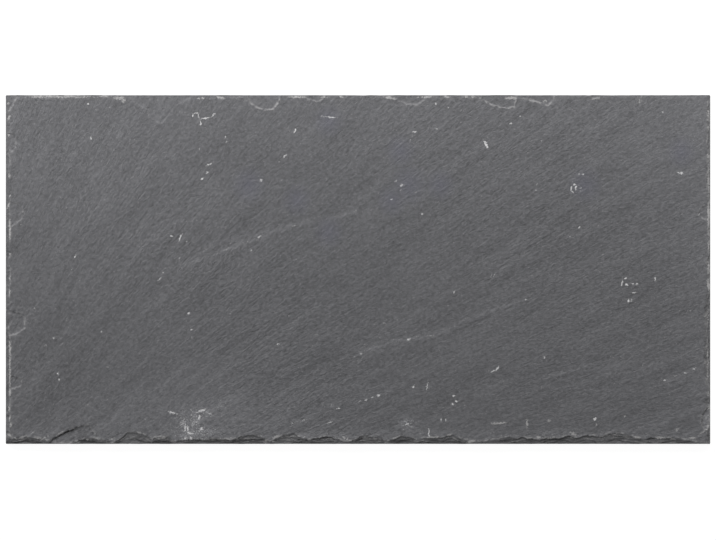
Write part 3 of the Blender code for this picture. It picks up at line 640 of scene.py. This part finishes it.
def slate_material(colours):
    """Riven slate: streaked along its grain, layered where it is broken, bruised and scuffed."""
    nodes = MaterialNodes("riven_slate")
    coordinates = nodes.add("ShaderNodeTexCoord", None, None, "Object")
    x = nodes.add("ShaderNodeSeparateXYZ", None, {0: coordinates}, "X")
    y = nodes.add("ShaderNodeSeparateXYZ", None, {0: coordinates}, "Y")
    z = nodes.add("ShaderNodeSeparateXYZ", None, {0: coordinates}, "Z")
    broken = nodes.add("ShaderNodeAttribute", {"attribute_name": "broken"}, None, "Fac")
    broken = broken * z.ramp(0, 0.0003)  # the underside is riven, not broken
    upper = z.ramp(0.002, 0.006)  # the marks stay off the underside
    bruise = nodes.add("ShaderNodeAttribute", {"attribute_name": "bruise"}, None, "Fac")
    shade = nodes.add("ShaderNodeAttribute", {"attribute_name": "shade"}, None, "Fac")

    streaks = grain(nodes, x, y, z, STREAKS)
    bands = grain(nodes, x, y, z, BANDS)
    swathes = grain(nodes, x, y, z, SWATHES, 1, 0)
    grit = nodes.noise(coordinates, 380, 1, 0.5)
    mottle = nodes.noise(coordinates, 26, 5, 0.6)
    layers = nodes.noise(nodes.vector(x / 0.015, y / 0.015, z / 0.00035), 1, 3, 0.6)
    flecks = nodes.noise(coordinates, 900, 1, 0.5)
    # Paler patches from rubbing, and painted highlights along the ridges.
    rubbed_and_highlit = nodes.marks(coordinates, RUBS_AND_RIDGE_HIGHLIGHTS) * upper

    riven = streaks * 0.55 + bands * 0.27 + swathes * 0.33
    speckled = (grit - 0.5) * 0.75 + (mottle - 0.5) * 0.1
    # shade brings in the painted shadows under the rims and at the steps' feet.
    tone = 1 + rubbed_and_highlit * streaks.ramp(-0.15, 0.1) * 0.5 + riven + speckled + shade
    face = nodes.scaled(colours.stone, tone)
    edge = nodes.scaled(colours.broken, (0.5 + layers) * (1 + shade))
    colour = nodes.blend(broken, face, edge)

    stains = [Mark(mark_x, mark_y, radius, radius, 0, 0.4) for mark_x, mark_y, radius in STAINS]
    stained = nodes.marks(coordinates, stains) * upper
    colour = nodes.blend(stained, colour, rgba(colours.stain))
    colour = nodes.blend(bruise * grit.ramp(0.30, 0.66), colour, rgba(colours.bruise))

    # The marks' outlines are shaken, and their insides broken up into powder.
    wobble = nodes.add(
        "ShaderNodeTexNoise", None, {"Vector": coordinates, "Scale": 640, "Detail": 2}, "Color"
    )
    wobble = nodes.add(
        "ShaderNodeVectorMath", {"operation": "MULTIPLY_ADD"},
        {0: wobble, 1: (MARK_SHAKE, MARK_SHAKE, 0), 2: (-MARK_SHAKE / 2, -MARK_SHAKE / 2, 0)},
    )
    shaken = nodes.add("ShaderNodeVectorMath", {"operation": "ADD"}, {0: coordinates, 1: wobble})
    # Chips, and along the back edge a painted highlight on the rim that faces the light.
    chipped_and_highlit = nodes.marks(shaken, CHIPS_AND_RIM_HIGHLIGHTS) * upper
    powder = (chipped_and_highlit + (flecks - 0.5) * 1.5).ramp(0.35, 1.15) * chipped_and_highlit.ramp(0.0, 0.9)
    colour = nodes.blend(powder, colour, rgba(colours.bruise))
    scuffed = nodes.marks(shaken, SCUFFS) * upper
    scuffed = scuffed * (0.4 + scuffed * 0.7)
    # Rubbing and the painted ridge highlights also take the scuff colour.
    powder = (scuffed + rubbed_and_highlit * 0.45 + (flecks - 0.5) * 2.2).ramp(0.36, 1.52)
    colour = nodes.blend(powder * (scuffed + rubbed_and_highlit).ramp(0.0, 0.9), colour, rgba(colours.scuff))
    sparkle = flecks.ramp(0.66, 0.80) * grit.ramp(0.40, 0.60)
    colour = nodes.blend(sparkle * 0.5, colour, rgba(colours.bruise))

    relief = (streaks * STREAK_RELIEF + bands * BAND_RELIEF) * (0.84 + y * 0.9)
    height = relief + grit * GRIT_RELIEF + broken * layers * LAYER_RELIEF
    bump = nodes.add("ShaderNodeBump", None, {"Height": height, "Distance": 1, "Strength": 1})
    nodes.feed(nodes.shader.inputs["Base Color"], colour)
    nodes.feed(nodes.shader.inputs["Roughness"], 0.52 + mottle * 0.2)
    nodes.feed(nodes.shader.inputs["Normal"], bump)
    return nodes.material


def smooth(value):
    """0 below 0, 1 above 1, and a smooth rise between."""
    value = np.clip(value, 0, 1)
    return value * value * (3 - 2 * value)


def hump(off, width):
    """1 where off is 0, falling away on both sides."""
    return np.exp(-((off / width) ** 2))


def noise_line(size, seed, octaves=1):
    """A random function of the place along an edge, about -1 to 1, with bumps of this size."""
    places = np.arange(-0.32, 0.32, size / 6)
    heights = [noise.fractal(Vector((p / size, seed, 0.5)), 1.0, 2.0, octaves) for p in places]
    return lambda at: np.clip(1.8 * np.interp(at, places, heights), -1, 1)


def noise_field(u, v, seed, octaves=1):
    """A random number, about -1 to 1, for each pair of coordinates."""
    pairs = zip(u.tolist(), v.tolist())
    heights = [noise.fractal(Vector((a, b, seed)), 1.0, 2.0, octaves) for a, b in pairs]
    return np.clip(1.6 * np.array(heights), -1, 1)


def side_place(side, x, y):
    """Distance in from a side's outline, and the place along it."""
    return {
        "front": (y + WIDTH / 2, x),
        "back": (WIDTH / 2 - y, x),
        "left": (x + LENGTH / 2, y),
        "right": (LENGTH / 2 - x, y),
    }[side]


def broken_edge(side, x, y):
    """One side's broken edge: its fall, where it is broken, and four tones of its colour.

    The tones: broken stone, bruised rim, painted shadow at steps' feet, face paler by the edge.
    """
    inward, at = side_place(side.name, x, y)
    places, depths = np.array(side.rim).T * MM
    rim = np.interp(at, places, depths) + 0.0004
    rim += RIM_WANDER * noise_line(0.0028, side.seed, 4)(at)
    rim = np.maximum(rim, LEAST_BREAK + 0.0005 * noise_line(0.006, side.seed + 8, 2)(at))
    lean = (np.interp(at + 0.001, places, depths) - np.interp(at - 0.001, places, depths)) / 0.002
    patches = np.clip(0.5 + 0.8 * noise_line(0.007, side.seed + 9, 3)(at), 0, 1)
    share = np.clip(rim / FULL_BREAK, 0.25, 1.15)
    drop = (side.drop + side.vary * noise_line(0.024, side.seed + 1, 2)(at)) * MM * share
    down = 1 - inward / rim
    fall = side.slope * drop * np.clip(down, 0, 1)
    crevice = np.zeros(x.shape)
    bruise = hump(inward - rim - side.pale * MM, side.spread * MM) * patches ** 2
    for step in range(side.steps):
        sway = 0.4 * depths.mean() * noise_line(0.020, side.seed + 2 + step, 3)(at)
        start = rim if step == 0 else np.minimum(rim, rim * (1 - step / side.steps) + sway)
        past = start - inward
        fall += (1 - side.slope) * drop / side.steps * smooth(past / RISER)
        depth = np.maximum(0.7 + 0.9 * noise_line(0.010, side.seed + 20 + step, 3)(at), 0)
        # At the first step the painted shadow is darker where the rim turns away from the light.
        depth *= share * (0.7 if step else np.clip(1 + 1.2 * lean, 0.4, 1.6))
        # A line of painted shadow lies at the foot of each step.
        crevice = np.maximum(crevice, depth * hump(past - 0.0003, SHADOW_HALF_WIDTH))
        if step == 0:
            # Under the rim a painted shadow fades out towards the outline.
            crevice = np.maximum(crevice, 0.46 * share * np.exp(-past / 0.006) * (past > 0))
        else:
            lip = hump(past + 0.0006, 0.0005) * (1 - patches) * (start < rim)
            bruise = np.maximum(bruise, 0.7 * lip)
    fall += side.arris * MM * smooth(1 - inward / 0.0008)
    broken = smooth(down * rim / 0.0004)
    # The face is made paler towards the edge.
    worn = side.worn * np.exp(-inward / 0.025)
    crevice = np.minimum(crevice, 1.1) * side.crevice
    return fall, broken, broken * side.tone, bruise * side.bruise, crevice, worn


def distance_inside(points, x, y):
    """Distance from each place to a polygon's outline, positive inside it."""
    nearest = np.full(x.shape, np.inf)
    inside = np.zeros(x.shape, bool)
    for (ax, ay), (bx, by) in zip(points, points[1:] + points[:1]):
        run = ((x - ax) * (bx - ax) + (y - ay) * (by - ay)) / ((bx - ax) ** 2 + (by - ay) ** 2)
        run = np.clip(run, 0, 1)
        nearest = np.minimum(nearest, np.hypot(x - ax - run * (bx - ax), y - ay - run * (by - ay)))
        if ay != by:
            crossing = ax + (y - ay) / (by - ay) * (bx - ax)
            inside ^= ((ay > y) != (by > y)) & (x < crossing)
    return np.where(inside, nearest, -nearest)


def ridge_step(ridge, x, y):
    """The low step along a ridge: how far it lifts the face, positive on its front side."""
    points = np.array(ridge.points) * MM
    along_x, along_y = points[-1] - points[0]
    length = math.hypot(along_x, along_y)
    run = ((x - points[0, 0]) * along_x + (y - points[0, 1]) * along_y) / length
    off = ((x - points[0, 0]) * along_y - (y - points[0, 1]) * along_x) / length
    stations = ((points - points[0]) @ (along_x, along_y)) / length
    bows = ((points[:, 0] - points[0, 0]) * along_y - (points[:, 1] - points[0, 1]) * along_x)
    off = off - np.interp(run, stations, bows / length)
    off += 0.0006 * noise_line(0.006, ridge.height, 2)(run - length / 2)
    taper = smooth(run / 0.02 + 0.3) * smooth((length - run) / 0.02 + 0.3)
    step = (smooth(off / 0.0018 + 0.5) - 0.5) * np.exp(-np.abs(off) / 0.010)
    return ridge.height * MM * taper * step


def upper_face(shape, x, y):
    """Height of the stone's upper side, with how broken, bruised and pale it is."""
    from_x, from_y = x - GRAIN_ORIGIN[0], y - GRAIN_ORIGIN[1]
    away, turn = np.hypot(from_x, from_y), np.arctan2(from_y, from_x) * 0.6
    height = THICKNESS - shape.swell * (0.5 + 0.5 * noise_field(away / 0.09, turn / 0.034, 0.0))
    height += shape.wave * noise_field(away / 0.032, turn / 0.009, 4.0, 3)
    for ridge in RIDGES:
        height += ridge_step(ridge, x, y)
    fall, broken, bruise, shade, crevice = (np.zeros(x.shape) for _ in range(5))
    ragged = 0.0004 * noise_field(x / 0.0025, y / 0.0025, 9.0, 2)
    for scar in SCARS:
        points = [(a * MM, b * MM) for a, b in scar.points]
        inside = distance_inside(points, x, y) + ragged
        drop = scar.drop * MM + (x - points[0][0]) * scar.fall
        fall = np.maximum(fall, np.maximum(drop, 0) * smooth(inside / 0.0007))
        shade += scar.shade * smooth(inside / 0.0007)
        # A painted shadow darkens the scar's floor under its rim.
        deep = np.clip(drop / 0.0006, 0, 1) * smooth((x - points[0][0]) / 0.018)
        shadow = hump(inside - 0.0008, 0.0004 + 0.0012 * deep)
        shadow = np.maximum(shadow, 0.40 * np.exp(-inside / 0.005) * (inside > 0))
        crevice = np.maximum(crevice, shadow * scar.crevice * deep)
        bruise = np.maximum(bruise, hump(inside - 0.0001, 0.0008) * scar.bruise)
    for patch_x, patch_y, wide, long, amount in PATCHES:
        shade += amount * hump(np.hypot((x / MM - patch_x) / wide, (y / MM - patch_y) / long), 1)
    for side in SIDES:
        edge_fall, edge, edge_tone, edge_bruise, edge_painted_shadow, worn = broken_edge(side, x, y)
        shade += worn * (1 - edge)
        fall = np.maximum(fall, edge_fall)
        bruise = np.maximum(bruise * (1 - 0.6 * edge), edge_bruise)
        broken = np.maximum(broken, edge_tone)
        crevice = np.maximum(crevice * (1 - edge), edge_painted_shadow)
    # The last is the shade, darkened by the painted shadows under the rims and at the steps' feet.
    return np.minimum(height, THICKNESS) - fall, broken, bruise, shade - 0.82 * crevice


def wall_inset(shape, side, at, z):
    """How far a wall stands back from the outline: lamina by lamina, and at its spalls."""
    lamina = np.floor((z + 0.0005 * noise_line(0.05, side.seed, 2)(at)) / LAMINA)
    stand = np.zeros(at.shape)
    for level in np.unique(lamina):
        here = lamina == level
        line = noise_line(0.017, side.seed + 3.3 * level, 3)
        stand[here] = shape.wall_step * (0.5 + 0.5 * line(at[here]))
    stand *= smooth((z - 0.0024) / 0.0012)
    for spall in SPALLS:
        if spall.side == side.name:
            across = smooth(1.25 - np.abs(at / MM - spall.at) / spall.wide * 2)
            up = np.clip(1 - z / MM / spall.high, 0, 1)
            stand = np.maximum(stand, spall.deep * MM * across * up)
    return np.maximum(stand, (0.010 if side.name in ("front", "back") else 0.045) * z)


def deselect_all():
    bpy.ops.object.select_all(action="DESELECT")


def select_near_edges(stone, band, front_band, reach):
    """Selects, in edit mode, the faces in a band round the block and near the scars' rims."""
    bm = bmesh.from_edit_mesh(stone.data)
    x, y, _ = np.array([face.calc_center_median() for face in bm.faces]).T
    chosen = (np.abs(x) > LENGTH / 2 - band) | (y > WIDTH / 2 - band)
    chosen |= y < front_band - WIDTH / 2
    for scar in SCARS:
        points = [(a * MM, b * MM) for a, b in scar.points]
        chosen |= np.abs(distance_inside(points, x, y)) < reach
    for face, choice in zip(bm.faces, chosen.tolist()):
        face.select_set(choice)
    bmesh.update_edit_mesh(stone.data)


def stone_block(shape):
    """The uncut block: fine cells near its edges, rows of faces down its walls."""
    deselect_all()
    rows = round(shape.cells * WIDTH / LENGTH)
    bpy.ops.mesh.primitive_grid_add(
        x_subdivisions=shape.cells, y_subdivisions=rows, size=1, location=(0, 0, THICKNESS)
    )
    stone = bpy.context.object
    bpy.ops.object.mode_set(mode="EDIT")
    bpy.ops.mesh.select_mode(type="FACE")
    bpy.ops.transform.resize(value=(LENGTH, WIDTH, 1))
    for band, front_band, reach in (
        (shape.edge_band, shape.edge_band, 0.0035),
        (shape.rim_band, shape.front_band, 0.0018),
    ):
        bpy.ops.mesh.select_all(action="DESELECT")
        select_near_edges(stone, band, front_band, reach)
        bpy.ops.mesh.subdivide(number_cuts=1)
    bpy.ops.mesh.select_mode(type="EDGE")
    bpy.ops.mesh.select_all(action="DESELECT")
    bpy.ops.mesh.select_non_manifold(extend=False, use_verts=False)
    for _ in range(shape.rings):
        drop = {"value": (0, 0, -THICKNESS / shape.rings)}
        bpy.ops.mesh.extrude_region_move(TRANSFORM_OT_translate=drop)
    bpy.ops.mesh.edge_face_add()
    bpy.ops.mesh.select_all(action="SELECT")
    bpy.ops.mesh.normals_make_consistent(inside=False)
    bpy.ops.object.mode_set(mode="OBJECT")
    bpy.ops.object.transform_apply(location=True, rotation=True, scale=True)
    return stone


def split_and_dress(stone, shape):
    """Moves the block's vertices onto the riven face and the broken walls."""
    places = np.empty(len(stone.data.vertices) * 3, np.float32)
    stone.data.vertices.foreach_get("co", places)
    x, y, z = places.reshape(-1, 3).T.astype(float)
    share = np.clip(z / THICKNESS, 0, 1)
    top, broken, bruise, shade = upper_face(shape, x, y)
    new_z = top * share
    new_x, new_y = x.copy(), y.copy()
    on_wall = np.zeros(x.shape, bool)
    for side in SIDES:
        inward, at = side_place(side.name, x, y)
        wall = inward < 1e-5
        stand = wall_inset(shape, side, at[wall], new_z[wall])
        if side.name in ("front", "back"):
            new_y[wall] -= np.sign(y[wall]) * stand
        else:
            new_x[wall] -= np.sign(x[wall]) * stand
        on_wall |= wall
    corner = (np.abs(x) > LENGTH / 2 - 1e-5) & (np.abs(y) > WIDTH / 2 - 1e-5)
    new_x[corner] -= np.sign(x[corner]) * 0.0005
    new_y[corner] -= np.sign(y[corner]) * 0.0005
    below = on_wall & (share < 0.999)
    broken[below] = 1
    bruise[below] = 0
    shade[below] = 0
    moved = np.stack((new_x, new_y, new_z), axis=1).astype(np.float32)
    stone.data.vertices.foreach_set("co", moved.ravel())
    for name, amounts in (("broken", broken), ("bruise", bruise), ("shade", shade)):
        attribute = stone.data.attributes.new(name, "FLOAT", "POINT")
        attribute.data.foreach_set("value", amounts.astype(np.float32))
    stone.data.update()


class SLATE_OT_slab(bpy.types.Operator):
    """Model the riven slab in place of its plain solid"""

    bl_idname = "slate.slab"
    bl_label = "Riven slab"

    def execute(self, context):
        stone = stone_block(context.scene.slab_shape)
        split_and_dress(stone, context.scene.slab_shape)
        stone.name = "riven_slab"
        stone.data.materials.append(slate_material(context.scene.slab_colours))
        bpy.ops.object.shade_smooth_by_angle(angle=math.radians(38))
        underside = max(stone.data.polygons, key=lambda face: face.area)
        underside.use_smooth = False  # so that it isn't shaded with the walls
        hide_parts("slab")
        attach(stone, "root")
        return {"FINISHED"}


class SLATE_OT_studio(bpy.types.Operator):
    """Lay a pale floor, hang the soft lights and set the camera overhead"""

    bl_idname = "slate.studio"
    bl_label = "Studio"

    def execute(self, context):
        settings = context.scene.slate_studio
        deselect_all()
        bpy.ops.mesh.primitive_plane_add(size=FLOOR_SIZE, location=(0, 0, -FLOOR_GAP))
        floor = context.object
        floor.name = "studio_floor"
        nodes = MaterialNodes("pale_floor")
        nodes.feed(nodes.shader.inputs["Base Color"], rgba(settings.floor))
        nodes.feed(nodes.shader.inputs["Roughness"], 0.9)
        nodes.feed(nodes.shader.inputs["Emission Color"], (1, 1, 1, 1))
        nodes.feed(nodes.shader.inputs["Emission Strength"], settings.floor_glow)
        floor.data.materials.append(nodes.material)

        for name, place, size, power in (
            ("key_softbox", (-0.04, 0.50, 0.46), (3.0, 0.5), settings.key),
            ("side_softbox", (-6.0, 5.8, 5.4), (3.2, 3.2), settings.side),
        ):
            bpy.ops.object.light_add(type="AREA", location=place)
            lamp = context.object
            lamp.name = name
            lamp.data.shape = "RECTANGLE"
            lamp.data.size, lamp.data.size_y = size
            lamp.data.energy = power
            lamp.data.color = settings.key_colour
            lamp.rotation_euler = lamp.location.to_track_quat("Z", "Y").to_euler()
            lamp.visible_camera = False

        world = bpy.data.worlds.new("studio_fill")
        world.use_nodes = True
        background = world.node_tree.nodes["Background"]
        background.inputs["Color"].default_value = (1, 1, 1, 1)
        background.inputs["Strength"].default_value = settings.fill
        context.scene.world = world
        context.scene.view_settings.view_transform = "Standard"

        height = settings.view_width * settings.lens / SENSOR
        bpy.ops.object.camera_add(location=(0, -0.0004, height), rotation=(0, 0, 0))
        camera = context.object
        camera.name = "overhead_camera"
        camera.data.lens = settings.lens
        camera.data.sensor_width = SENSOR
        camera.data.clip_end = 100
        context.scene.camera = camera
        return {"FINISHED"}


class SLATE_PT_sidebar(bpy.types.Panel):
    """The slab's and the studio's settings"""

    bl_label = "Riven slate slab"
    bl_space_type = "VIEW_3D"
    bl_region_type = "UI"
    bl_category = "Slate"

    def draw(self, context):
        scene = context.scene
        for title, settings in (
            ("Shape", scene.slab_shape),
            ("Colours", scene.slab_colours),
            ("Studio", scene.slate_studio),
        ):
            box = self.layout.box()
            box.label(text=title)
            for name in settings.__annotations__:
                box.prop(settings, name)
        self.layout.operator(SLATE_OT_slab.bl_idname)
        self.layout.operator(SLATE_OT_studio.bl_idname)


CLASSES = (
    SlabShape,
    SlabColours,
    StudioSettings,
    SLATE_OT_slab,
    SLATE_OT_studio,
    SLATE_PT_sidebar,
)


def register():
    for cls in CLASSES:
        bpy.utils.register_class(cls)
    bpy.types.Scene.slab_shape = PointerProperty(type=SlabShape)
    bpy.types.Scene.slab_colours = PointerProperty(type=SlabColours)
    bpy.types.Scene.slate_studio = PointerProperty(type=StudioSettings)


def unregister():
    del bpy.types.Scene.slate_studio
    del bpy.types.Scene.slab_colours
    del bpy.types.Scene.slab_shape
    for cls in reversed(CLASSES):
        bpy.utils.unregister_class(cls)


def main():
    register()
    bpy.ops.slate.slab()
    bpy.ops.slate.studio()


if __name__ == "__main__":
    main()
